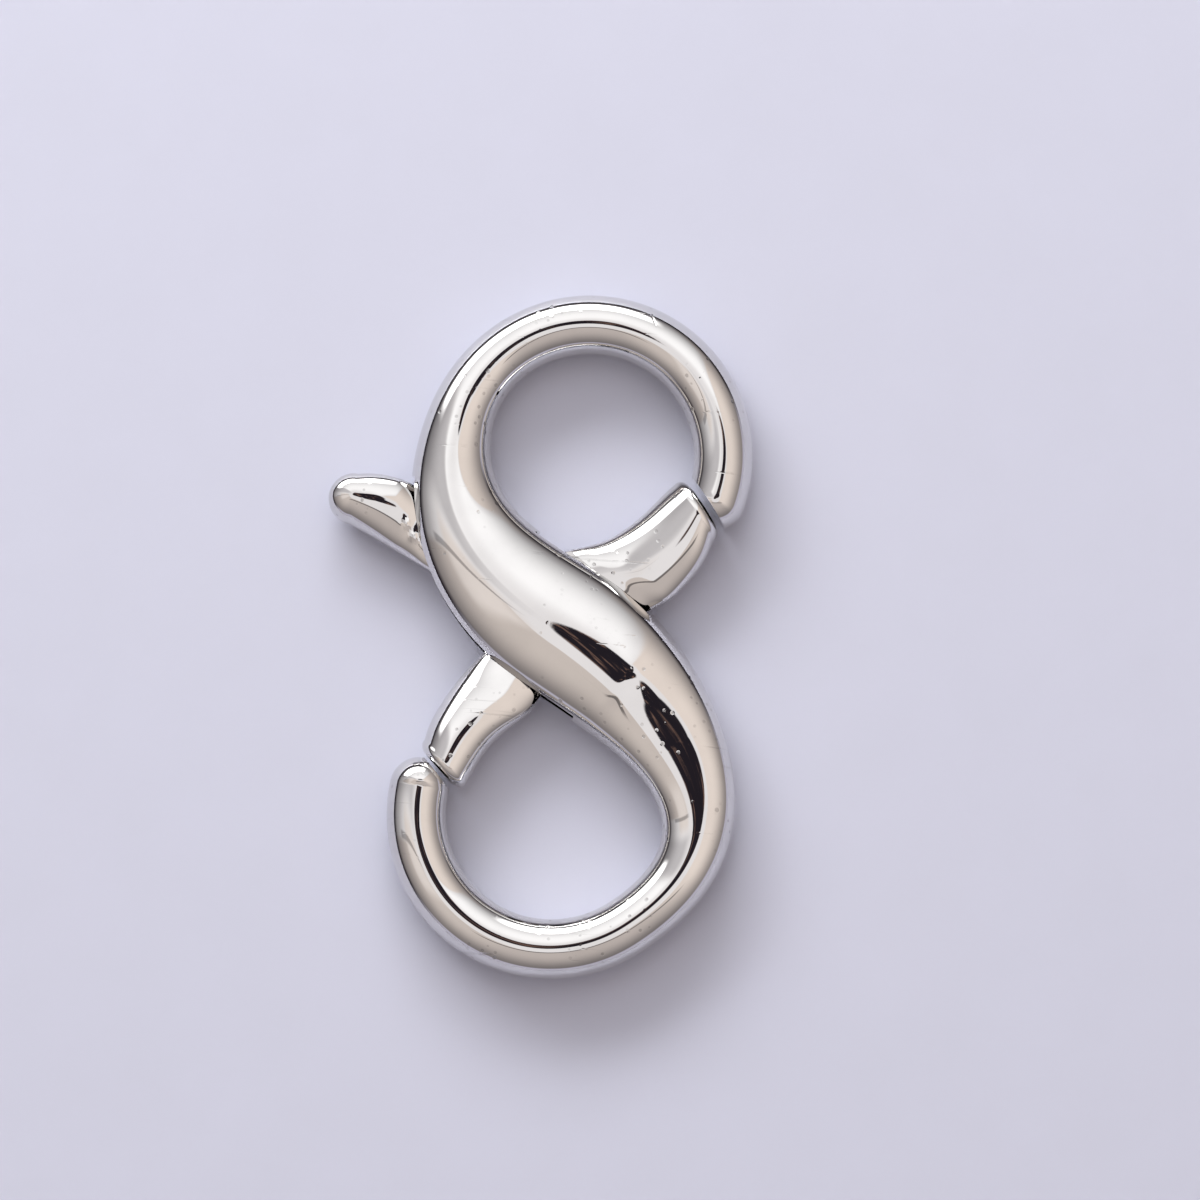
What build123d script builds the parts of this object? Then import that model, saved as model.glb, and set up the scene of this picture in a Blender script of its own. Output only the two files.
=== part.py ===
from build123d import *
import os
from math import atan2, cos, degrees, pi, radians, sin

os.makedirs("parts", exist_ok=True)

# Figure-eight trigger clasp, lying on its ground back at z = 0 with its face to +Z.
# The pivot is on the Z axis and the long axis is Y.

# body centreline: two hook loops joined by an S-shaped crossing
UPPER_LOOP = (0.0, 6.6)
LOWER_LOOP = (-0.15, -6.98)
LOOP_R = 5.07
UPPER_TIP_DEG = -14.0
UPPER_JOIN_DEG = 168.7
UPPER_PULLS = (4.95, 1.17)
LOWER_TIP_DEG = 173.4
LOWER_JOIN_DEG = -52.0
LOWER_PULLS = (7.3, 3.05)
CROSS = (-0.26, -0.11)
CROSS_DEG = -28.8

# body section: round at the hooks, a wide oval at the crossing
HOOK_R = 1.12
CROSS_HALF_W = 2.66
CROSS_HALF_H = 1.55
TAPER_LEN = 14.5
TAPER_POWER = 3.2
STATIONS = 24
MID_Z = 1.05

# slot through the crossing, open on both flanks where the lever comes out
SLOT_H = 1.08
SLOT_HUB_R = 1.75
SLOT_OUTLINE = [
    (-2.3, 3.2),
    (-1.2, 3.8),
    (3.6, 3.4),
    (3.6, 1.9),
    (-0.2, -4.2),
    (-5.2, -3.0),
    (-8.6, 1.0),
    (-8.6, 6.3),
]

# gate faces at the hook ends: a point on the face and the direction it looks, in degrees
HOOK_GATES = [
    (4.67, 5.19, -142.0),
    (-4.49, -5.95, 43.5),
]

# lever plate
PLATE_T = 1.0
HUB_R = 1.65
PLATE_OUTLINE = [
    (-0.95, 2.7),
    (-0.3, 2.9),
    (2.35, 1.0),
    (2.1, 0.6),
    (1.4, 0.0),
    (-0.8, -1.4),
    (-1.1, -2.2),
    (-1.4, -2.4),
    (-3.1, -1.2),
    (-2.9, -1.0),
    (-2.3, -0.3),
    (-5.4, 1.8),
    (-5.95, 4.6),
    (-2.4, 2.95),
]

# lever limbs: the two edge points of each station and the thickness there
UPPER_ARM = [
    ((-0.60, 2.93), (2.40, 0.75), 0.94),
    ((-0.10, 3.10), (2.83, 1.00), 1.05),
    ((0.86, 3.43), (3.40, 1.32), 1.22),
    ((1.69, 4.04), (3.92, 1.86), 1.50),
    ((2.38, 4.75), (4.42, 2.50), 1.78),
    ((2.86, 5.36), (4.78, 3.12), 1.94),
    ((3.37, 5.90), (4.98, 3.84), 2.00),
]
LOWER_ARM = [
    ((-0.90, -2.20), (-2.90, -0.70), 0.94),
    ((-1.05, -2.90), (-3.30, -1.20), 1.02),
    ((-1.62, -3.55), (-3.98, -2.02), 1.50),
    ((-2.22, -4.08), (-4.50, -2.85), 1.82),
    ((-2.75, -4.70), (-4.88, -3.62), 1.96),
    ((-3.48, -6.20), (-5.17, -4.62), 2.00),
]
TAB = [
    ((-5.90, 4.75), (-5.30, 1.62), 0.94),
    ((-6.42, 4.97), (-5.95, 1.95), 1.00),
    ((-6.95, 5.13), (-6.70, 2.31), 1.22),
    ((-7.50, 5.24), (-7.45, 2.68), 1.46),
    ((-8.10, 5.28), (-8.15, 3.00), 1.62),
    ((-8.60, 5.20), (-8.80, 3.30), 1.65),
]
ROUND_SHARE = 0.46
ARM_END_LEN = 0.35
ARM_END_TAPER = 38

# pivot pin, pressed into the body from the back, with a flush head
PIN_R = 0.6
PIN_HEAD_R = 0.9
PIN_HEAD_T = 0.25
PIN_TOP_Z = 2.15
PIN_RUNNING = 0.04

# return spring in a pocket on the front of the lever hub
SPRING_R = 0.96
WIRE_R = 0.11
SPRING_PITCH = 0.25
SPRING_TURNS = 1.25
SPRING_LOW_Z = 1.11
POCKET_R = 1.2
POCKET_FLOOR_Z = 0.98
LEG_HOLE_R = 0.14
LEG_REACH = 0.4


def section_plane(x, y, heading):
    along = (cos(radians(heading)), sin(radians(heading)), 0)
    across = (-sin(radians(heading)), cos(radians(heading)), 0)
    return Plane(origin=(x, y, MID_Z), x_dir=across, z_dir=along)


def station_plane(left, right):
    across = Vector(left[0] - right[0], left[1] - right[1], 0)
    middle = ((left[0] + right[0]) / 2, (left[1] + right[1]) / 2, MID_Z)
    return Plane(origin=middle, x_dir=across, z_dir=(across.Y, -across.X, 0)), across.length


def body_half_sizes(distance):
    share = max(0.0, 1.0 - abs(distance) / TAPER_LEN)
    swell = sin(share * pi / 2) ** TAPER_POWER
    half_w = HOOK_R + (CROSS_HALF_W - HOOK_R) * swell
    half_h = HOOK_R + (CROSS_HALF_H - HOOK_R) * swell
    return half_w, half_h


def around(loop, angle):
    return Vector(loop[0] + LOOP_R * cos(radians(angle)), loop[1] + LOOP_R * sin(radians(angle)), MID_Z)


def tangent_step(angle, length):
    return Vector(-sin(radians(angle)), cos(radians(angle)), 0) * length


cross = Vector(CROSS[0], CROSS[1], MID_Z)
cross_way = Vector(cos(radians(CROSS_DEG)), sin(radians(CROSS_DEG)), 0)
upper_join = around(UPPER_LOOP, UPPER_JOIN_DEG)
lower_join = around(LOWER_LOOP, LOWER_JOIN_DEG)
upper_pull = upper_join + tangent_step(UPPER_JOIN_DEG, UPPER_PULLS[0])
lower_pull = lower_join + tangent_step(LOWER_JOIN_DEG, LOWER_PULLS[0])
with BuildLine(Plane.XY.offset(MID_Z)) as spine:
    upper_arc = CenterArc(UPPER_LOOP, LOOP_R, 0, UPPER_JOIN_DEG)
    upper_curve = Bezier(upper_join, upper_pull, cross - cross_way * UPPER_PULLS[1], cross)
    Bezier(cross, cross + cross_way * LOWER_PULLS[1], lower_pull, lower_join)
    CenterArc(LOWER_LOOP, LOOP_R, LOWER_JOIN_DEG, -180 - LOWER_JOIN_DEG)
spine_wire = spine.wires()[0]
spine_length = spine_wire.length
cross_at = upper_arc.length + upper_curve.length


with BuildPart() as body:
    # the crossing, thickest over the pivot
    for i in range(STATIONS + 1):
        distance = TAPER_LEN * (2 * i / STATIONS - 1)
        share = (cross_at + distance) / spine_length
        tangent = spine_wire.tangent_at(share)
        half_w, half_h = body_half_sizes(distance)
        across = (-tangent.Y, tangent.X, 0)
        with BuildSketch(Plane(spine_wire.position_at(share), x_dir=across, z_dir=tangent)):
            Ellipse(half_w, half_h)
    loft()
    # the two round hooks with domed ends
    for loop, tip_deg, taper_way in ((UPPER_LOOP, UPPER_TIP_DEG, -1), (LOWER_LOOP, LOWER_TIP_DEG, 1)):
        taper_end = spine_wire.position_at((cross_at + taper_way * TAPER_LEN) / spine_length)
        taper_deg = degrees(atan2(taper_end.Y - loop[1], taper_end.X - loop[0]))
        with BuildLine(Plane.XY.offset(MID_Z)) as hook_line:
            CenterArc(loop, LOOP_R, tip_deg, (taper_deg - tip_deg) % 360)
        hook = hook_line.edges()[0]
        with BuildSketch(Plane(hook @ 0, z_dir=hook % 0)):
            Circle(HOOK_R)
        sweep(path=hook)
        with Locations(hook @ 0):
            Sphere(HOOK_R)
    # gate faces where the lever closes
    for x, y, heading in HOOK_GATES:
        with BuildSketch(section_plane(x, y, heading)):
            Rectangle(4, 4)
        extrude(amount=1.5, mode=Mode.SUBTRACT)
    # back ground flat
    with BuildSketch(Plane.XY):
        Rectangle(16, 28)
    extrude(amount=-1, mode=Mode.SUBTRACT)
    # slot for the lever
    with BuildSketch(Plane.XY.offset(MID_Z - SLOT_H / 2)):
        with BuildLine():
            Polyline(*SLOT_OUTLINE, close=True)
        make_face()
        Circle(SLOT_HUB_R)
    extrude(amount=SLOT_H, mode=Mode.SUBTRACT)
    # blind pin hole with a recess for the head
    with BuildSketch(Plane.XY):
        Circle(PIN_HEAD_R)
    extrude(amount=PIN_HEAD_T, mode=Mode.SUBTRACT)
    with BuildSketch(Plane.XY):
        Circle(PIN_R)
    extrude(amount=PIN_TOP_Z, mode=Mode.SUBTRACT)
    # hole for the fixed leg of the spring
    with BuildSketch(Plane.XY.offset(MID_Z)):
        with PolarLocations(SPRING_R, 1, 360 * SPRING_TURNS):
            Circle(LEG_HOLE_R)
    extrude(amount=SLOT_H / 2 + LEG_REACH, mode=Mode.SUBTRACT)
body.part.label = "body"
export_step(body.part, "parts/body.step")

with BuildPart() as lever:
    # flat plate that turns in the slot
    with BuildSketch(Plane.XY.offset(MID_Z - PLATE_T / 2)):
        with BuildLine():
            Polyline(*PLATE_OUTLINE, close=True)
        make_face()
        Circle(HUB_R)
    extrude(amount=PLATE_T)
    for limb in (UPPER_ARM, LOWER_ARM, TAB):
        for left, right, thickness in limb:
            station, width = station_plane(left, right)
            with BuildSketch(station):
                RectangleRounded(width, thickness, thickness * ROUND_SHARE)
        loft()
    # eased ends facing the hooks
    for arm in (UPPER_ARM, LOWER_ARM):
        left, right, thickness = arm[-1]
        station, width = station_plane(left, right)
        with BuildSketch(station):
            RectangleRounded(width, thickness, thickness * ROUND_SHARE)
        extrude(amount=ARM_END_LEN, taper=ARM_END_TAPER)
    # round end of the thumb tab
    left, right, thickness = TAB[-1]
    station, width = station_plane(left, right)
    with BuildSketch(station):
        RectangleRounded(width, thickness, thickness * ROUND_SHARE)
        with Locations((-width / 2, 0)):
            Rectangle(width, thickness + 1, mode=Mode.SUBTRACT)
    revolve(axis=Axis((station.origin.X, station.origin.Y, 0), (0, 0, 1)), revolution_arc=180)
    # running bore, spring pocket and the hole for the moving leg of the spring
    with BuildSketch(Plane.XY):
        Circle(PIN_R + PIN_RUNNING)
    extrude(amount=2 * MID_Z, mode=Mode.SUBTRACT)
    with BuildSketch(Plane.XY.offset(POCKET_FLOOR_Z)):
        Circle(POCKET_R)
    extrude(amount=PLATE_T, mode=Mode.SUBTRACT)
    with BuildSketch(Plane.XY.offset(MID_Z)):
        with Locations((SPRING_R, 0)):
            Circle(LEG_HOLE_R)
    extrude(amount=-PLATE_T, mode=Mode.SUBTRACT)
lever.part.label = "lever"
export_step(lever.part, "parts/lever.step")

with BuildPart() as pivot_pin:
    with BuildSketch(Plane.XY):
        Circle(PIN_HEAD_R)
    extrude(amount=PIN_HEAD_T)
    with BuildSketch(Plane.XY):
        Circle(PIN_R)
    extrude(amount=PIN_TOP_Z)
pivot_pin.part.label = "pivot_pin"
export_step(pivot_pin.part, "parts/pivot_pin.step")

with BuildPart() as return_spring:
    coil_height = SPRING_PITCH * SPRING_TURNS
    with BuildLine(Plane.XY.offset(SPRING_LOW_Z)) as coil:
        Helix(SPRING_PITCH, coil_height, SPRING_R)
    coil_edge = coil.edges()[0]
    with BuildSketch(Plane(coil_edge @ 0, z_dir=coil_edge % 0)):
        Circle(WIRE_R)
    sweep(path=coil_edge, is_frenet=True)
    # bent legs: one down into the lever, one up into the body
    for end, way in ((coil_edge @ 0, -1), (coil_edge @ 1, 1)):
        with Locations(end):
            Sphere(WIRE_R)
        with BuildSketch(Plane(end, z_dir=(0, 0, way))):
            Circle(WIRE_R)
        extrude(amount=LEG_REACH)
return_spring.part.label = "return_spring"
export_step(return_spring.part, "parts/return_spring.step")
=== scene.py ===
import math

import bmesh
import bpy
import numpy as np
from mathutils import Matrix, Vector
from mathutils.bvhtree import BVHTree
from mathutils.geometry import barycentric_transform


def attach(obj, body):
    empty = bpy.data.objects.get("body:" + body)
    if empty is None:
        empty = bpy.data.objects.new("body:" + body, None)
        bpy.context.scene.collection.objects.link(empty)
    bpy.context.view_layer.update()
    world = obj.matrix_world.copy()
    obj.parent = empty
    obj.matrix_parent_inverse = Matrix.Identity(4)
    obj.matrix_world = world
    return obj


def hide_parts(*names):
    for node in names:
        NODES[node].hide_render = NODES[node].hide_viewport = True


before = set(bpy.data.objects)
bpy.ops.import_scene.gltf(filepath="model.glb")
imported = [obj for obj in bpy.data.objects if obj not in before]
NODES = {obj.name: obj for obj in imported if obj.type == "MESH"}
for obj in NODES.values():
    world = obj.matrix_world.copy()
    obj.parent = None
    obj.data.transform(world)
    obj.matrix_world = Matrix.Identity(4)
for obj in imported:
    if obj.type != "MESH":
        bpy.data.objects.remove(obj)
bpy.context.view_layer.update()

MM = 0.001

# Camera: looks down on the open face, turned about the view axis and leaning a little
CAM_TURN_DEG = 5.25
CAM_LEAN_X_DEG = 2.0
CAM_LEAN_Y_DEG = -8.0
CAM_CENTRE = Vector((0.911, 1.221, 1.05)) * MM
CAM_REACH = 220 * MM
EXPOSURE = 0.24
FRAME_WIDTH = 45.1 * MM
WORLD_GREY = (0.5, 0.5, 0.5, 1.0)


# ---------------------------------------------------------------- node helpers
class Graph:
    """A node tree with short ways to add nodes and join them."""

    def __init__(self, tree):
        self.tree = tree
        tree.nodes.clear()

    def add(self, kind, **inputs):
        node = self.tree.nodes.new(kind)
        for key, value in inputs.items():
            self.put(node, key, value)
        return node

    def put(self, node, key, value):
        """Sets or links an input, named as in the node or by its number after an underscore."""
        by_number = key[0] == "_" and key[1:].isdigit()
        socket = node.inputs[int(key[1:]) if by_number else key.replace("_", " ")]
        if isinstance(value, bpy.types.NodeSocket):
            self.tree.links.new(value, socket)
        else:
            socket.default_value = value

    def math(self, op, a, b=0.0, clamp=False):
        node = self.add("ShaderNodeMath", _0=a, _1=b)
        node.operation = op
        node.use_clamp = clamp
        return node.outputs[0]

    def times(self, first, *others):
        for other in others:
            first = self.math("MULTIPLY", first, other)
        return first

    def step(self, value, low, high):
        """0 below low, 1 above high, smooth between them (falls when low is above high)."""
        node = self.add("ShaderNodeMapRange")
        node.interpolation_type = "SMOOTHSTEP"
        flip = low > high
        self.put(node, "Value", value)
        self.put(node, "From Min", min(low, high))
        self.put(node, "From Max", max(low, high))
        self.put(node, "To Min", 1.0 if flip else 0.0)
        self.put(node, "To Max", 0.0 if flip else 1.0)
        return node.outputs[0]

    def band(self, value, low, high, soft):
        """1 between low and high, 0 outside them, with soft edges."""
        rise = self.step(value, low - soft, low + soft)
        fall = self.step(value, high + soft, high - soft)
        return self.times(rise, fall)

    def mix(self, fac, a, b):
        node = self.tree.nodes.new("ShaderNodeMix")
        node.data_type = "RGBA"
        self.put(node, "_0", fac)
        self.put(node, "_6", a)
        self.put(node, "_7", b)
        return node.outputs[2]

    def noise(self, coords, scale, detail=3.0, rough=0.5):
        node = self.add("ShaderNodeTexNoise", Vector=coords, Scale=scale, Detail=detail, Roughness=rough)
        return node.outputs["Fac"]


def rgb(r, g, b, gain=1.0):
    """An sRGB colour of 0-255 parts as a linear colour, times a gain."""
    def lin(v):
        v = v / 255
        return (v / 12.92 if v < 0.04045 else ((v + 0.055) / 1.055) ** 2.4) * gain
    return (lin(r), lin(g), lin(b), 1.0)


def heading(deg):
    """The unit direction at an angle from +X."""
    return np.array((math.cos(math.radians(deg)), math.sin(math.radians(deg))))


def new_material(name):
    """A material with an empty graph and its output node."""
    mat = bpy.data.materials.new(name)
    mat.use_nodes = True
    g = Graph(mat.node_tree)
    return mat, g, g.add("ShaderNodeOutputMaterial")


# ---------------------------------------------------------------- metal
# Noise scales are in waves per metre. Limits are the noise values between which a feature fades in.
SMEAR_SCALE = 450.0
SMEAR_LIMITS = (0.35, 0.75)
SMEAR_SHADE = 0.94
SMEAR_GLOSS = (0.6, 1.8)
WAVE_SCALE = 260.0
FINE_SCALE = 9000.0
SMALL_PIT_SCALE = 2600.0
SMALL_PIT_LIMITS = (0.24, 0.10)
SMALL_PATCH_SCALE = 330.0
SMALL_PATCH_LIMITS = (0.50, 0.62)
LARGE_PIT_SCALE = 950.0
LARGE_PIT_LIMITS = (0.115, 0.05)
LARGE_PATCH_SCALE = 700.0
LARGE_PATCH_LIMITS = (0.50, 0.56)
HAIR_TURN = (0.3, 0.2, 0.6)
HAIR_STRETCH = (260.0, 5200.0, 260.0)
HAIR_LIMITS = (0.66, 0.73)
HAIR_PATCH_LIMITS = (0.49, 0.60)
HAIR_SHARE = 0.5
MARK_SHADE = 0.45
MARK_ROUGHNESS = 0.22

# heights of the fine grain, the waviness and the marks, as parts of a material's bump depth
FINE_HEIGHT = 0.02
WAVE_HEIGHT = 3.2
MARK_HEIGHT = 0.9

# a short nick across the crown of the upper loop, in mm and degrees
NICK_MID = (2.0, 11.87)
NICK_DEG = -63.7
NICK_HALF_LEN = 0.27
NICK_HALF_W = 0.035
NICK_SOFT = (0.08, 0.02)


def nick(g, coord):
    spot = g.add("ShaderNodeSeparateXYZ", _0=coord)
    way, across = heading(NICK_DEG), heading(NICK_DEG + 90)
    off_x = g.math("SUBTRACT", g.math("DIVIDE", spot.outputs[0], MM), NICK_MID[0])
    off_y = g.math("SUBTRACT", g.math("DIVIDE", spot.outputs[1], MM), NICK_MID[1])
    along = g.math("ADD", g.times(off_x, way[0]), g.times(off_y, way[1]))
    aside = g.math("ADD", g.times(off_x, across[0]), g.times(off_y, across[1]))
    long_part = g.band(along, -NICK_HALF_LEN, NICK_HALF_LEN, NICK_SOFT[0])
    wide_part = g.band(aside, -NICK_HALF_W, NICK_HALF_W, NICK_SOFT[1])
    return g.times(long_part, wide_part)


def cast_pits(g, coord):
    """Pits of two sizes, gathered in patches."""
    small = g.add("ShaderNodeTexVoronoi", Vector=coord, Scale=SMALL_PIT_SCALE).outputs["Distance"]
    large = g.add("ShaderNodeTexVoronoi", Vector=coord, Scale=LARGE_PIT_SCALE).outputs["Distance"]
    small_patch = g.step(g.noise(coord, SMALL_PATCH_SCALE, 2.0), *SMALL_PATCH_LIMITS)
    large_patch = g.step(g.noise(coord, LARGE_PATCH_SCALE, 1.0), *LARGE_PATCH_LIMITS)
    small_pits = g.times(g.step(small, *SMALL_PIT_LIMITS), small_patch)
    large_pits = g.times(g.step(large, *LARGE_PIT_LIMITS), large_patch)
    return g.math("MAXIMUM", small_pits, large_pits)


def hair_scratches(g, coord, smear):
    """Thin lines of a stretched noise, only where the metal is smeared."""
    bent = g.add("ShaderNodeMapping", Vector=coord, Rotation=HAIR_TURN, Scale=HAIR_STRETCH)
    hair = g.noise(bent.outputs[0], 1.0, 1.0)
    return g.times(g.step(hair, *HAIR_LIMITS), g.step(smear, *HAIR_PATCH_LIMITS))


def shaded(tint, share):
    return tuple(c * share for c in tint[:3]) + (1.0,)


def metal(name, tint, rough, bump_depth):
    """Polished metal with faint waviness, cast pits, hair scratches and dull smears."""
    mat, g, out = new_material(name)
    bsdf = g.add("ShaderNodeBsdfPrincipled", Metallic=1.0)
    coord = g.add("ShaderNodeTexCoord").outputs["Object"]
    smear = g.noise(coord, SMEAR_SCALE, 5.0, 0.6)
    wave = g.noise(coord, WAVE_SCALE, 1.0)
    fine = g.noise(coord, FINE_SCALE, 2.0)
    scratches = g.times(hair_scratches(g, coord, smear), HAIR_SHARE)
    marks = g.math("MAXIMUM", cast_pits(g, coord), scratches, clamp=True)
    marks = g.math("MAXIMUM", marks, nick(g, coord))
    colour = g.mix(g.step(smear, *SMEAR_LIMITS), tint, shaded(tint, SMEAR_SHADE))
    colour = g.mix(g.times(marks, MARK_SHADE), colour, shaded(tint, MARK_SHADE))
    g.put(bsdf, "Base Color", colour)
    spread = g.add("ShaderNodeMapRange", Value=smear)
    g.put(spread, "From Min", SMEAR_LIMITS[0])
    g.put(spread, "From Max", SMEAR_LIMITS[1])
    g.put(spread, "To Min", rough * SMEAR_GLOSS[0])
    g.put(spread, "To Max", rough * SMEAR_GLOSS[1])
    g.put(bsdf, "Roughness", g.math("ADD", spread.outputs[0], g.times(marks, MARK_ROUGHNESS)))
    height = g.math("ADD", g.times(fine, FINE_HEIGHT), g.times(wave, WAVE_HEIGHT))
    height = g.math("SUBTRACT", height, g.times(marks, MARK_HEIGHT))
    bump = g.add("ShaderNodeBump", Strength=1.0, Distance=bump_depth, Height=height)
    g.put(bsdf, "Normal", bump.outputs[0])
    g.put(out, "Surface", bsdf.outputs[0])
    return mat


SILVER = metal("plated_casting", (0.74, 0.73, 0.72, 1.0), 0.018, 0.004 * MM)
PIN = metal("pin_steel", (0.66, 0.65, 0.63, 1.0), 0.16, 0.008 * MM)
WIRE = metal("spring_wire", (0.52, 0.51, 0.50, 1.0), 0.2, 0.006 * MM)


def wear(obj, mat):
    obj.data.materials.clear()
    obj.data.materials.append(mat)
    for p in obj.data.polygons:
        p.material_index = 0


for name, slot, mat in (("pivot_pin", "pin_steel", PIN), ("return_spring", "spring_wire", WIRE)):
    wear(NODES[name], mat)


# ---------------------------------------------------------------- body mesh
# in mm, with the back at z = 0, the face towards +Z and the pivot on the Z axis
BACK_Z = 0.0
MID_Z = 1.05
LOOP_R = 5.07
UPPER_LOOP = np.array((0.0, 6.6))
LOWER_LOOP = np.array((-0.15, -6.98))
UPPER_ARC_DEG = (-14.0, 168.7)
LOWER_ARC_DEG = (-52.0, -186.6)
UPPER_PULLS = (4.95, 1.17)
LOWER_PULLS = (7.3, 3.05)
CROSS = np.array((-0.26, -0.11))
CROSS_DEG = -28.8
HOOK_R = 1.12
CROSS_HALF_W = 2.66
CROSS_HALF_H = 1.55
TAPER_LEN = 14.5
TAPER_POWER = 3.2
# the crown breaks faintly downwards past the crossing, then levels out and recovers
CREASE_AT = 3.1
CREASE_SOFT = 0.1
CREASE_SLOPE = 0.12
CREASE_LEN = 0.8
CREASE_RECOVERY = 6.0
# the crown is a little flatter over the lower right, by this much more power in its oval
FLAT_AT = 6.6
FLAT_LEN = 2.6
FLAT_POWER = 0.58
STEP = 0.09
RING = 84
BACK_STEPS = 6
CURVE_STEPS = 500
DOME_STEPS = 16
DOME_DEG = 88
CIRCLE_STEPS = 96
# the blocks that cut the hooks' gate faces, and a margin for cuts that go right through
GATE_DEPTH = 1.5
GATE_WIDTH = 4.0
ABOVE = 4.0
BELOW = -1.0
# mesh tolerances, in metres
WELD = 1e-7
SLIVER = 1e-8
ON_SURFACE = 2e-6


def arc(centre, start, end):
    a = np.radians(np.linspace(start, end, CURVE_STEPS))
    return centre + LOOP_R * np.stack([np.cos(a), np.sin(a)], 1)


def bezier(p0, p1, p2, p3):
    t = np.linspace(0, 1, CURVE_STEPS)[:, None]
    return (1 - t) ** 3 * p0 + 3 * t * (1 - t) ** 2 * p1 + 3 * t * t * (1 - t) * p2 + t ** 3 * p3


def centreline():
    """Evenly spaced points of the S with their directions and distances from the crossing."""
    upper = arc(UPPER_LOOP, *UPPER_ARC_DEG)
    lower = arc(LOWER_LOOP, *LOWER_ARC_DEG)
    way = heading(CROSS_DEG)
    upper_way = heading(UPPER_ARC_DEG[1] + 90)
    lower_way = heading(LOWER_ARC_DEG[0] + 90)
    first = bezier(upper[-1], upper[-1] + UPPER_PULLS[0] * upper_way, CROSS - UPPER_PULLS[1] * way, CROSS)
    second = bezier(CROSS, CROSS + LOWER_PULLS[1] * way, lower[0] + LOWER_PULLS[0] * lower_way, lower[0])
    line = np.concatenate([upper, first[1:], second[1:], lower[1:]])
    run = np.concatenate([[0], np.cumsum(np.linalg.norm(np.diff(line, axis=0), axis=1))])
    cross_at = run[len(upper) + len(first) - 2]
    at = np.linspace(0, run[-1], int(run[-1] / STEP) + 1)
    points = np.stack([np.interp(at, run, line[:, k]) for k in (0, 1)], 1)
    ways = np.gradient(points, axis=0)
    ways /= np.linalg.norm(ways, axis=1)[:, None]
    return points, ways, at - cross_at


def grid_mesh(name, rings):
    """A closed tube through rings of points, with a point at each end."""
    count, around = rings.shape[:2]
    verts = rings.reshape(-1, 3)
    faces = []
    for i in range(count - 1):
        for j in range(around):
            k = (j + 1) % around
            faces.append((i * around + j, i * around + k, (i + 1) * around + k, (i + 1) * around + j))
    verts = np.concatenate([verts, [rings[0].mean(0), rings[-1].mean(0)]])
    first, last = count * around, count * around + 1
    for j in range(around):
        k = (j + 1) % around
        faces.append((first, k, j))
        faces.append((last, (count - 1) * around + j, (count - 1) * around + k))
    mesh = bpy.data.meshes.new(name)
    mesh.from_pydata((verts * MM).tolist(), [], faces)
    bm = bmesh.new()
    bm.from_mesh(mesh)
    bmesh.ops.remove_doubles(bm, verts=bm.verts, dist=WELD)
    bmesh.ops.dissolve_degenerate(bm, edges=bm.edges, dist=SLIVER)
    bmesh.ops.recalc_face_normals(bm, faces=bm.faces)
    for f in bm.faces:
        f.smooth = True
    bm.to_mesh(mesh)
    bm.free()
    obj = bpy.data.objects.new(name, mesh)
    bpy.context.scene.collection.objects.link(obj)
    return obj


def body_ring(point, way, half_w, half_h, power=2.0):
    """The oval section at one point, cut flat at the back. A power over 2 flattens its crown."""
    low = math.asin(min(1.0, (MID_Z - BACK_Z) / half_h))
    a = np.linspace(-low, math.pi + low, RING)
    side, up = half_w * np.cos(a), half_h * np.sin(a)
    crown = up > 0
    side[crown] = half_w * np.sign(np.cos(a[crown])) * np.abs(np.cos(a[crown])) ** (2 / power)
    up[crown] = half_h * np.sin(a[crown]) ** (2 / power)
    base = np.linspace(side[-1], side[0], BACK_STEPS + 1)[1:-1]
    side = np.concatenate([side, base])
    up = np.concatenate([up, np.full(len(base), up[0])])
    across = np.array((-way[1], way[0]))
    return np.column_stack([point + side[:, None] * across, MID_Z + up])


def body_tube():
    """Rings of points along the whole S, with a dome on each hook."""
    points, ways, dist = centreline()
    share = np.clip(1 - np.abs(dist) / TAPER_LEN, 0, 1)
    swell = np.sin(share * np.pi / 2) ** TAPER_POWER
    half_w = HOOK_R + (CROSS_HALF_W - HOOK_R) * swell
    half_h = HOOK_R + (CROSS_HALF_H - HOOK_R) * swell
    past = CREASE_SOFT * np.log1p(np.exp(np.clip((dist - CREASE_AT) / CREASE_SOFT, -30, 30)))
    drop = CREASE_SLOPE * CREASE_LEN * (1 - np.exp(-past / CREASE_LEN))
    half_h -= drop * np.exp(-(past / CREASE_RECOVERY) ** 2)
    power = 2 + FLAT_POWER * np.exp(-((dist - FLAT_AT) / FLAT_LEN) ** 2)
    rings = [body_ring(*row) for row in zip(points, ways, half_w, half_h, power)]
    dome = np.radians(np.linspace(0, DOME_DEG, DOME_STEPS))[1:]
    for end, sign in ((0, -1), (-1, 1)):
        caps = []
        for d in dome:
            p = points[end] + sign * ways[end] * HOOK_R * math.sin(d)
            r = HOOK_R * math.cos(d)
            caps.append(body_ring(p, ways[end], r, r))
        rings = caps[::-1] + rings if sign < 0 else rings + caps
    return np.array(rings)


def prism(name, outline, low, high):
    """An upright block with the given outline."""
    mesh = bpy.data.meshes.new(name)
    bm = bmesh.new()
    face = bm.faces.new([bm.verts.new((x * MM, y * MM, low * MM)) for x, y in outline])
    top = bmesh.ops.extrude_face_region(bm, geom=[face])
    raised = [v for v in top["geom"] if isinstance(v, bmesh.types.BMVert)]
    bmesh.ops.translate(bm, verts=raised, vec=(0, 0, (high - low) * MM))
    bmesh.ops.recalc_face_normals(bm, faces=bm.faces)
    bm.to_mesh(mesh)
    bm.free()
    obj = bpy.data.objects.new(name, mesh)
    bpy.context.scene.collection.objects.link(obj)
    return obj


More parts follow.
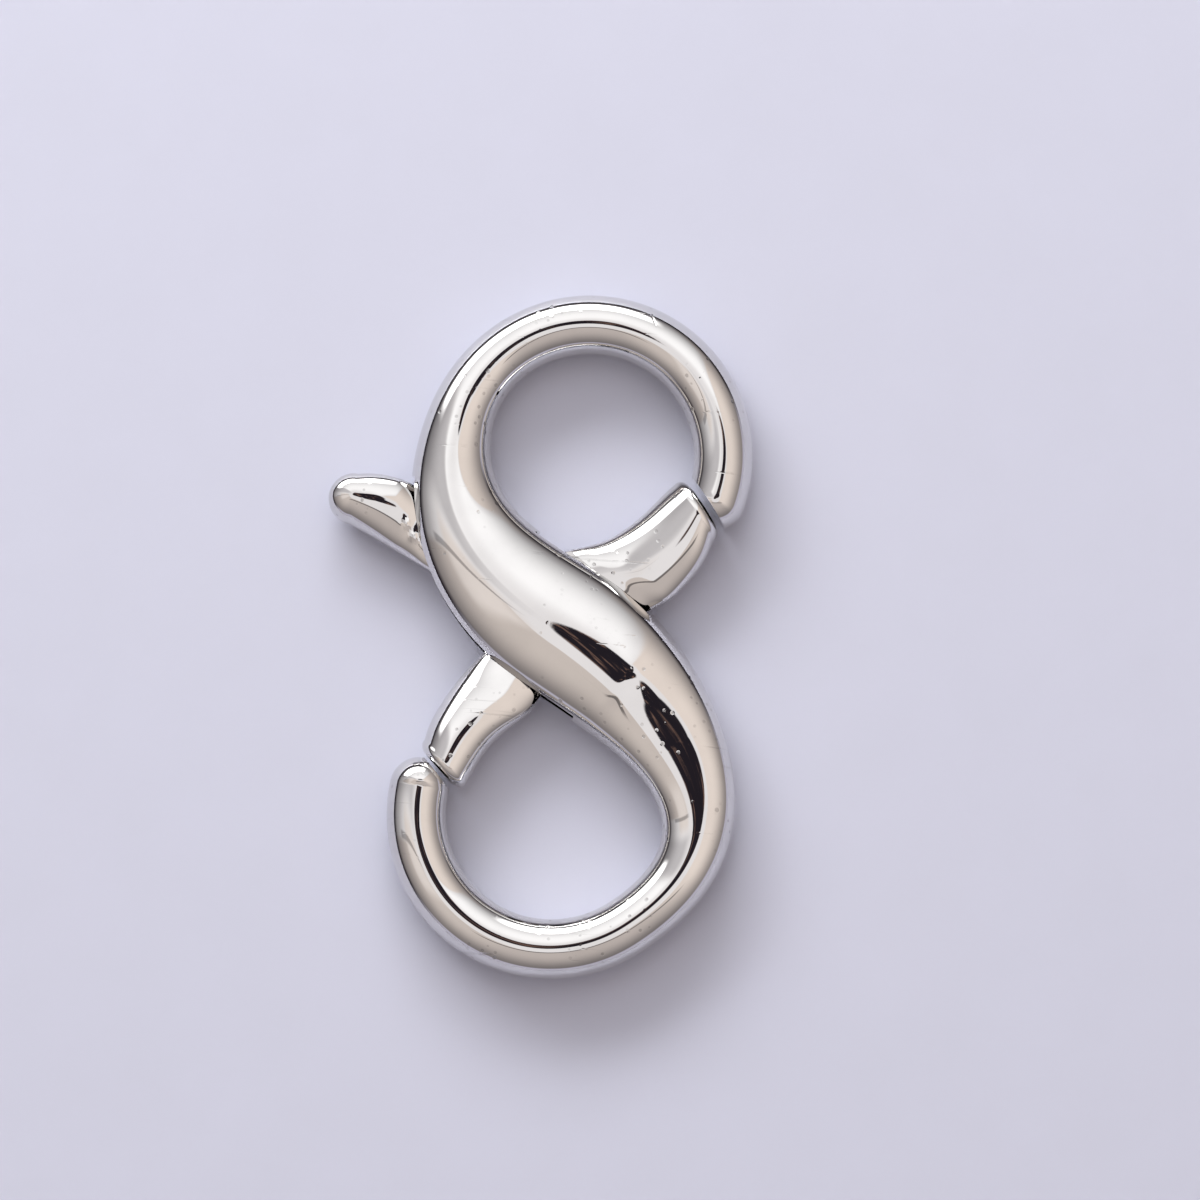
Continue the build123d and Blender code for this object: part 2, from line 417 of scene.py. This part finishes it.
def circle(radius):
    a = np.linspace(0, 2 * np.pi, CIRCLE_STEPS, endpoint=False)
    return [(radius * math.cos(t), radius * math.sin(t)) for t in a]


def gate_block(point, deg):
    """A block whose near face passes through the point and looks against the heading."""
    way, across = heading(deg), heading(deg + 90)
    near_left = np.array(point) + across * GATE_WIDTH / 2
    near_right = near_left - across * GATE_WIDTH
    back = way * GATE_DEPTH
    outline = [near_left, near_right, near_right + back, near_left + back]
    return prism("gate", [tuple(v) for v in outline], BELOW, ABOVE)


def boolean(obj, tools, operation="DIFFERENCE"):
    """Cuts the tools out of obj, or joins them to it, and removes them."""
    for tool in tools:
        mod = obj.modifiers.new("cut", "BOOLEAN")
        mod.operation = operation
        mod.solver = "EXACT"
        mod.object = tool
    depsgraph = bpy.context.evaluated_depsgraph_get()
    mesh = bpy.data.meshes.new_from_object(obj.evaluated_get(depsgraph))
    obj.modifiers.clear()
    old = obj.data
    obj.data = mesh
    bpy.data.meshes.remove(old)
    for tool in tools:
        bpy.data.objects.remove(tool)


def smooth_like(obj, source, reach=ON_SURFACE, flat_deg=12.0):
    """Gives the faces of obj that lie on the source surfaces their smooth normals; the others stay flat."""
    trees = []
    for mesh in source:
        mesh.calc_loop_triangles()
        verts = [v.co.copy() for v in mesh.vertices]
        normals = [v.normal.copy() for v in mesh.vertices]
        tris = [tuple(t.vertices) for t in mesh.loop_triangles]
        trees.append((BVHTree.FromPolygons(verts, tris), verts, normals, tris))
    mesh = obj.data
    limit = math.cos(math.radians(flat_deg))
    loops = [None] * len(mesh.loops)
    for poly in mesh.polygons:
        best = None
        for tree in trees:
            spot, way, index, far = tree[0].find_nearest(poly.center)
            if far < reach and (best is None or far < best[0]) and abs(way.dot(poly.normal)) > limit:
                best = (far, tree)
        for li in poly.loop_indices:
            if best is None:
                loops[li] = poly.normal
                continue
            tree, verts, normals, tris = best[1]
            spot, way, index, far = tree.find_nearest(mesh.vertices[mesh.loops[li].vertex_index].co)
            a, b, c = tris[index]
            n = barycentric_transform(spot, verts[a], verts[b], verts[c], normals[a], normals[b], normals[c])
            loops[li] = n.normalized() if n.length > 0 else poly.normal
    for poly in mesh.polygons:
        poly.use_smooth = True
    mesh.normals_split_custom_set(loops)


SLOT_OUTLINE = [
    (-2.3, 3.2),
    (-1.2, 3.8),
    (3.6, 3.4),
    (3.6, 1.9),
    (-0.2, -4.2),
    (-5.2, -3.0),
    (-8.6, 1.0),
    (-8.6, 6.3),
]
SLOT_HALF = 0.54
SLOT_HUB_R = 1.75
PIN_R = 0.6
PIN_TOP = 2.15
HEAD_R = 0.9
HEAD_TOP = 0.25
# a point on each hook's gate face and the way the face looks
HOOK_GATES = (((4.67, 5.19), -142.0), ((-4.49, -5.95), 43.5))


def body_mesh():
    tube = grid_mesh("clasp_body", body_tube())
    smooth = tube.data.copy()
    tools = [
        prism("slot", SLOT_OUTLINE, MID_Z - SLOT_HALF, MID_Z + SLOT_HALF),
        prism("hub", circle(SLOT_HUB_R), MID_Z - SLOT_HALF, MID_Z + SLOT_HALF),
        prism("head", circle(HEAD_R), BELOW, HEAD_TOP),
        prism("bore", circle(PIN_R), BELOW, PIN_TOP),
    ]
    tools += [gate_block(point, deg) for point, deg in HOOK_GATES]
    boolean(tube, tools)
    smooth_like(tube, [smooth])
    bpy.data.meshes.remove(smooth)
    return tube


# ---------------------------------------------------------------- lever mesh
# edge points of each limb across its width, and its thickness there
UPPER_ARM = [
    ((-0.60, 2.93), (2.40, 0.75), 0.94),
    ((-0.10, 3.10), (2.83, 1.00), 1.05),
    ((0.86, 3.43), (3.40, 1.32), 1.26),
    ((1.69, 4.04), (3.92, 1.86), 1.53),
    ((2.38, 4.75), (4.42, 2.50), 1.75),
    ((2.86, 5.36), (4.78, 3.12), 1.91),
    ((3.14, 5.70), (4.93, 3.52), 2.01),
    ((3.37, 5.90), (4.98, 3.84), 2.08),
]
LOWER_ARM = [
    ((-0.90, -2.20), (-2.90, -0.70), 0.94),
    ((-1.05, -2.90), (-3.30, -1.20), 1.02),
    ((-1.62, -3.55), (-3.98, -2.02), 1.50),
    ((-2.22, -4.08), (-4.50, -2.85), 1.82),
    ((-2.75, -4.70), (-4.88, -3.62), 1.96),
    ((-3.08, -5.30), (-5.06, -4.05), 2.00),
    ((-3.30, -5.88), (-5.14, -4.44), 2.00),
    ((-3.48, -6.20), (-5.17, -4.62), 2.00),
]
TAB = [
    ((-5.90, 4.75), (-5.30, 1.62), 0.94),
    ((-6.42, 4.97), (-5.95, 1.95), 1.00),
    ((-6.95, 5.13), (-6.70, 2.31), 1.22),
    ((-7.50, 5.24), (-7.45, 2.68), 1.46),
    ((-8.10, 5.28), (-8.15, 3.00), 1.62),
    ((-8.60, 5.20), (-8.80, 3.30), 1.65),
]
PLATE_OUTLINE = [
    (-0.95, 2.7),
    (-0.3, 2.9),
    (2.35, 1.0),
    (2.1, 0.6),
    (1.4, 0.0),
    (-0.8, -1.4),
    (-1.1, -2.2),
    (-1.4, -2.4),
    (-3.1, -1.2),
    (-2.9, -1.0),
    (-2.3, -0.3),
    (-5.4, 1.8),
    (-5.95, 4.6),
    (-2.4, 2.95),
]
PLATE_HALF = 0.5
HUB_R = 1.65
LEVER_BORE_R = 0.64
POCKET_R = 1.2
POCKET_FLOOR = 0.98

# how far each limb's crown leans to one side, as a slope that grows once the limb is out of the slot
UPPER_TILT = -0.07
LOWER_TILT = 0.05
TAB_TILT = 0.13
LEAN_FROM = 0.5
LEAN_LEN = 1.0

# limb section: the power of its oval, its points, the spacing of sections and the smoothing along it
LIMB_POWER = 2.03
LIMB_RING = 72
LIMB_STEP = 0.08
SMOOTH_PASSES = 50

# limb ends: sections in each, how far the flat ones reach out, narrow and thin, and the round one's bulge
END_STEPS = 20
END_DEG = 88
FLAT_END_REACH = 0.35
FLAT_END_NARROW = 0.5
FLAT_END_THIN = 0.38
ROUND_END_POWER = 0.7

# two small casting lumps by the root of the tab
LUMPS = ((-6.54, 3.37), (-6.28, 2.92))
LUMP_R = 0.15
LUMP_H = 0.07


def curve_through(values, count):
    """Smooth curve through rows of numbers, evenly spread along the first four (the edge points)."""
    v = np.array(values, float)
    t = np.concatenate([[0], np.cumsum(np.linalg.norm(np.diff((v[:, 0:2] + v[:, 2:4]) / 2, axis=0), axis=1))])
    slope = np.gradient(v, t, axis=0)
    at = np.linspace(0, t[-1], count)
    k = np.clip(np.searchsorted(t, at, side="right") - 1, 0, len(t) - 2)
    h = (t[k + 1] - t[k])[:, None]
    u = ((at - t[k]) / (t[k + 1] - t[k]))[:, None]
    return ((2 * u ** 3 - 3 * u ** 2 + 1) * v[k] + (u ** 3 - 2 * u ** 2 + u) * h * slope[k]
            + (3 * u ** 2 - 2 * u ** 3) * v[k + 1] + (u ** 3 - u ** 2) * h * slope[k + 1])


def pillow(count, power):
    a = np.linspace(0, 2 * np.pi, count, endpoint=False)
    c, s = np.cos(a), np.sin(a)
    return np.sign(c) * np.abs(c) ** (2 / power), np.sign(s) * np.abs(s) ** (2 / power)


def limb(name, stations, tilt, end="flat"):
    """A smooth oval limb through its stations, with a flat or a round end."""
    rows = np.array([(*left, *right, thickness) for left, right, thickness in stations])
    middles = (rows[:, 0:2] + rows[:, 2:4]) / 2
    length = np.linalg.norm(np.diff(middles, axis=0), axis=1).sum()
    rows = curve_through(rows, int(length / LIMB_STEP))
    for _ in range(SMOOTH_PASSES):
        rows[1:-1] = (rows[:-2] + 2 * rows[1:-1] + rows[2:]) / 4
    middles, halves = (rows[:, 0:2] + rows[:, 2:4]) / 2, (rows[:, 0:2] - rows[:, 2:4]) / 2
    side, up = pillow(LIMB_RING, LIMB_POWER)
    lean = np.clip((np.arange(len(rows)) * LIMB_STEP - LEAN_FROM) / LEAN_LEN, 0, 1)
    lean = tilt * lean ** 2 * (3 - 2 * lean)
    rings = []
    for mid, half, thickness, slope in zip(middles, halves, rows[:, 4], lean):
        lift = slope * side * np.linalg.norm(half)
        rings.append(np.column_stack([mid + side[:, None] * half, MID_Z + up * thickness / 2 + lift]))
    reach, thick = np.linalg.norm(half), thickness / 2
    way = np.array((-half[1], half[0])) / reach
    way *= np.sign(np.dot(way, mid - middles[-4]))
    for turn in np.radians(np.linspace(0, END_DEG, END_STEPS))[1:]:
        out, back = math.sin(turn), math.cos(turn)
        if end == "round":
            ahead, wide, high = reach * out, back, thick * back ** ROUND_END_POWER
        else:
            ahead = FLAT_END_REACH * out
            wide = 1 - FLAT_END_NARROW * (1 - back) / reach
            high = thick - FLAT_END_THIN * (1 - back)
        lift = tilt * side * reach * wide
        spots = mid + way * ahead + side[:, None] * half * wide
        rings.append(np.column_stack([spots, MID_Z + up * high + lift]))
    rings = np.array(rings)
    for x, y in LUMPS:
        off = (rings[..., 0] - x) ** 2 + (rings[..., 1] - y) ** 2
        rings[..., 2] += LUMP_H * np.exp(-off / LUMP_R ** 2) * (rings[..., 2] > MID_Z)
    return grid_mesh(name, rings)


def lever_mesh():
    limbs = [
        limb("upper_arm", UPPER_ARM, UPPER_TILT),
        limb("lower_arm", LOWER_ARM, LOWER_TILT),
        limb("tab", TAB, TAB_TILT, end="round"),
    ]
    smooth = [o.data.copy() for o in limbs]
    low, high = MID_Z - PLATE_HALF, MID_Z + PLATE_HALF
    plate = prism("clasp_lever", PLATE_OUTLINE, low, high)
    boolean(plate, [prism("disc", circle(HUB_R), low, high)], "UNION")
    boolean(plate, limbs, "UNION")
    boolean(plate, [prism("bore", circle(LEVER_BORE_R), BELOW, ABOVE)])
    boolean(plate, [prism("pocket", circle(POCKET_R), POCKET_FLOOR, ABOVE)])
    smooth_like(plate, smooth)
    for m in smooth:
        bpy.data.meshes.remove(m)
    return plate


body = body_mesh()
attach(body, "frame")
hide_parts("body")
lever = lever_mesh()
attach(lever, "trigger")
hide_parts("lever")
for casting in (body, lever):
    wear(casting, SILVER)


# ---------------------------------------------------------------- floor
FLOOR_R = 0.395
FLOOR_TONES = (rgb(187, 189, 205), rgb(190, 192, 209))
PAPER_GRAIN_SCALE = 300.0


def floor():
    bpy.ops.mesh.primitive_circle_add(vertices=128, radius=FLOOR_R, fill_type="NGON", location=(0, 0, 0))
    obj = bpy.context.object
    obj.name = "floor"
    mat, g, out = new_material("floor_paper")
    bsdf = g.add("ShaderNodeBsdfPrincipled", Roughness=0.7)
    coord = g.add("ShaderNodeTexCoord").outputs["Object"]
    grain = g.noise(coord, PAPER_GRAIN_SCALE, 3.0)
    g.put(bsdf, "Base Color", g.mix(grain, *FLOOR_TONES))
    g.put(out, "Surface", bsdf.outputs[0])
    obj.data.materials.append(mat)
    return obj


# ---------------------------------------------------------------- light tent
# A sphere of pale sheets round the clasp, which its polished faces mirror. A direction on it is in degrees:
# polar is the angle from straight up, and around runs 0-360 from the right through the top of the frame.
# flat_x and flat_y are the polar angle split into right and up. A span is (from, to, softness of its ends),
# and an edge is (where it starts, where it is full).
TENT_R = 0.4
TENT_GAIN = 1.12
CREAM = rgb(228, 216, 208, TENT_GAIN)
BEIGE = rgb(200, 190, 184, TENT_GAIN)
DULL_BEIGE = rgb(182, 173, 169, TENT_GAIN)
NEAR_WHITE = rgb(228, 225, 226, TENT_GAIN)
GREY = rgb(192, 189, 191, TENT_GAIN)
WARM = rgb(222, 213, 208, TENT_GAIN)
WHITE = (1.12, 1.11, 1.12, 1.0)
DARK = rgb(34, 30, 36, TENT_GAIN)
BROWN = rgb(112, 88, 78, TENT_GAIN)
DUSK = rgb(84, 80, 84, TENT_GAIN)
PALE = rgb(178, 175, 190, TENT_GAIN)
HOT = (13.5, 13.5, 13.5, 1.0)

# pale sheets
CREAM_EDGES = ((80.0, 40.0), (310.0, 335.0))
SOUTH_EDGE = (-16.5, -18.0)
SOUTH_SPAN = (236.0, 318.0, 14.0)
SOUTH_SHARE = 0.8
UPPER_EDGE = (-18.0, -17.0)
UPPER_RIGHT_EDGE = (46.0, 30.0)
# beyond these azimuths the near-white sheet only reaches these polar angles
UPPER_CORNERS = (((186.0, 182.0), (17.5, 16.5)), ((48.0, 50.0), (19.0, 17.0)))
GREY_SPAN = (140.0, 166.0, 6.0)
GREY_EDGE = (6.0, 24.0)
WARM_SPAN = (172.0, 204.0, 6.0)
WARM_DEPTH = (17.0, 44.0, 5.0)
WHITE_SPAN = (51.0, 138.0, 4.0)
WHITE_DEPTH = (16.0, 70.0, 8.0)

# dark seams between the sheets, each with its strength
LOW_SEAM_DEPTH = (-19.0, -16.5, 0.4)
LOW_SEAM_SPAN = (-16.0, 24.0, 3.0)
LOW_SEAM_SHARE = 0.7
LEFT_SEAM_SPAN = (181.0, 184.0, 0.7)
LEFT_SEAM_DEPTH = (16.0, 60.0, 4.0)
LEFT_SEAM_SHARE = 0.5

# the lens and the wide camera body round it are dark ovals: flat middle, half sizes and lean
LENS_OVAL = (2.0, 4.5, 11.0, 5.5, 38.0)
CAMERA_OVAL = (3.5, 3.0, 9.5, 4.2, 6.0)
OVAL_EDGE = (1.15, 0.9)
GLINT_SCALE = 60.0
GLINT_LIMITS = (0.52, 0.68)

# the fall of light towards the horizon, and the low hot lamp that throws the shadows
DUSK_EDGE = (28.0, 84.0)
DUSK_SHARE = 0.78
BEHIND_SPAN = (24.0, 214.0, 14.0)
BEHIND_EDGE = (74.0, 88.0)
FRONT_EDGE = (79.0, 84.0)
LAMP_SPAN = (78.0, 140.0, 12.0)
LAMP_DEPTH = (57.0, 73.0, 6.0)


def directions(g, coord):
    """The polar, around, flat_x and flat_y of each point of the tent."""
    turn = g.add("ShaderNodeVectorRotate", Vector=coord, Angle=math.radians(-CAM_TURN_DEG))
    turn.rotation_type = "Z_AXIS"
    unit = g.add("ShaderNodeVectorMath", _0=turn.outputs[0])
    unit.operation = "NORMALIZE"
    x, y, z = g.add("ShaderNodeSeparateXYZ", _0=unit.outputs[0]).outputs[:3]
    polar = g.times(g.math("ARCCOSINE", z), 180 / math.pi)
    around = g.times(g.math("ARCTAN2", y, x), 180 / math.pi)
    around = g.math("ADD", around, g.times(g.math("LESS_THAN", around, 0.0), 360.0))
    level = g.math("SQRT", g.math("ADD", g.times(x, x), g.times(y, y)))
    flat_x, flat_y = (g.times(polar, g.math("DIVIDE", part, level)) for part in (x, y))
    return polar, around, flat_x, flat_y


def oval(g, flat_x, flat_y, mid_x, mid_y, long_half, wide_half, lean_deg):
    """1 inside an oval of directions, 0 outside it."""
    way = heading(lean_deg)
    off_x = g.math("SUBTRACT", flat_x, mid_x)
    off_y = g.math("SUBTRACT", flat_y, mid_y)
    along = g.math("ADD", g.times(off_x, way[0] / long_half), g.times(off_y, way[1] / long_half))
    aside = g.math("SUBTRACT", g.times(off_y, way[0] / wide_half), g.times(off_x, way[1] / wide_half))
    return g.step(g.math("ADD", g.times(along, along), g.times(aside, aside)), *OVAL_EDGE)


def pale_sheets(g, polar, around, flat_x, flat_y):
    cream = g.math("MAXIMUM", *(g.step(around, *edge) for edge in CREAM_EDGES))
    tone = g.mix(cream, BEIGE, CREAM)
    south = g.times(g.step(flat_y, *SOUTH_EDGE), g.band(around, *SOUTH_SPAN), SOUTH_SHARE)
    tone = g.mix(south, tone, DULL_BEIGE)
    upper = g.times(g.step(flat_y, *UPPER_EDGE), g.step(flat_x, *UPPER_RIGHT_EDGE))
    for around_edge, polar_edge in UPPER_CORNERS:
        upper = g.times(upper, g.math("MAXIMUM", g.step(around, *around_edge), g.step(polar, *polar_edge)))
    tone = g.mix(upper, tone, NEAR_WHITE)
    tone = g.mix(g.times(g.band(around, *GREY_SPAN), g.step(polar, *GREY_EDGE)), tone, GREY)
    tone = g.mix(g.times(g.band(around, *WARM_SPAN), g.band(polar, *WARM_DEPTH)), tone, WARM)
    return g.mix(g.times(g.band(around, *WHITE_SPAN), g.band(polar, *WHITE_DEPTH)), tone, WHITE)


def dark_marks(g, coord, tone, polar, around, flat_x, flat_y):
    """Adds the seams, the lens and the camera body."""
    low_seam = g.times(g.band(flat_y, *LOW_SEAM_DEPTH), g.band(flat_x, *LOW_SEAM_SPAN), LOW_SEAM_SHARE)
    left_seam = g.times(g.band(around, *LEFT_SEAM_SPAN), g.band(polar, *LEFT_SEAM_DEPTH), LEFT_SEAM_SHARE)
    for seam in (low_seam, left_seam):
        tone = g.mix(seam, tone, DARK)
    camera_marks = [oval(g, flat_x, flat_y, *spot) for spot in (LENS_OVAL, CAMERA_OVAL)]
    glints = g.step(g.noise(coord, GLINT_SCALE, 4.0), *GLINT_LIMITS)
    return g.mix(g.math("MAXIMUM", *camera_marks), tone, g.mix(glints, DARK, BROWN))


def horizon(g, tone, polar, around):
    """Everything falls away towards the horizon, darkest behind, and the low lamp stands out there."""
    tone = g.mix(g.times(g.step(polar, *DUSK_EDGE), DUSK_SHARE), tone, DUSK)
    behind = g.band(around, *BEHIND_SPAN)
    tone = g.mix(g.times(behind, g.step(polar, *BEHIND_EDGE)), tone, DARK)
    tone = g.mix(g.times(g.math("SUBTRACT", 1.0, behind), g.step(polar, *FRONT_EDGE)), tone, PALE)
    return g.mix(g.times(g.band(around, *LAMP_SPAN), g.band(polar, *LAMP_DEPTH)), tone, HOT)


def tent():
    bpy.ops.mesh.primitive_uv_sphere_add(segments=96, ring_count=64, radius=TENT_R, location=(0, 0, 0))
    obj = bpy.context.object
    obj.name = "light_tent"
    for p in obj.data.polygons:
        p.use_smooth = True
    mat, g, out = new_material("tent_light")
    coord = g.add("ShaderNodeTexCoord").outputs["Object"]
    polar, around, flat_x, flat_y = directions(g, coord)
    tone = pale_sheets(g, polar, around, flat_x, flat_y)
    tone = dark_marks(g, coord, tone, polar, around, flat_x, flat_y)
    tone = horizon(g, tone, polar, around)
    glow = g.add("ShaderNodeEmission", Color=tone, Strength=1.0)
    g.put(out, "Surface", glow.outputs[0])
    obj.data.materials.append(mat)
    return obj


floor()
tent()


# ---------------------------------------------------------------- camera
def camera():
    turn = Matrix.Rotation(math.radians(CAM_TURN_DEG), 3, "Z")
    lean_x, lean_y = math.sin(math.radians(CAM_LEAN_X_DEG)), math.sin(math.radians(CAM_LEAN_Y_DEG))
    back = turn @ Vector((lean_x, lean_y, math.sqrt(1 - lean_x ** 2 - lean_y ** 2)))
    right = (turn @ Vector((0, 1, 0))).cross(back).normalized()
    up = back.cross(right)
    data = bpy.data.cameras.new("camera")
    data.sensor_fit = "HORIZONTAL"
    data.sensor_width = 36.0
    data.lens = data.sensor_width * CAM_REACH / FRAME_WIDTH
    data.clip_start = 0.005
    data.clip_end = 5.0
    cam = bpy.data.objects.new("camera", data)
    rot = Matrix((right, up, back)).transposed()
    cam.matrix_world = Matrix.Translation(CAM_CENTRE + back * CAM_REACH) @ rot.to_4x4()
    bpy.context.scene.collection.objects.link(cam)
    bpy.context.scene.camera = cam


camera()
scene = bpy.context.scene
scene.view_settings.view_transform = "Standard"
scene.view_settings.exposure = EXPOSURE
world = bpy.data.worlds.new("world")
scene.world = world
world.use_nodes = True
world.node_tree.nodes["Background"].inputs[0].default_value = WORLD_GREY
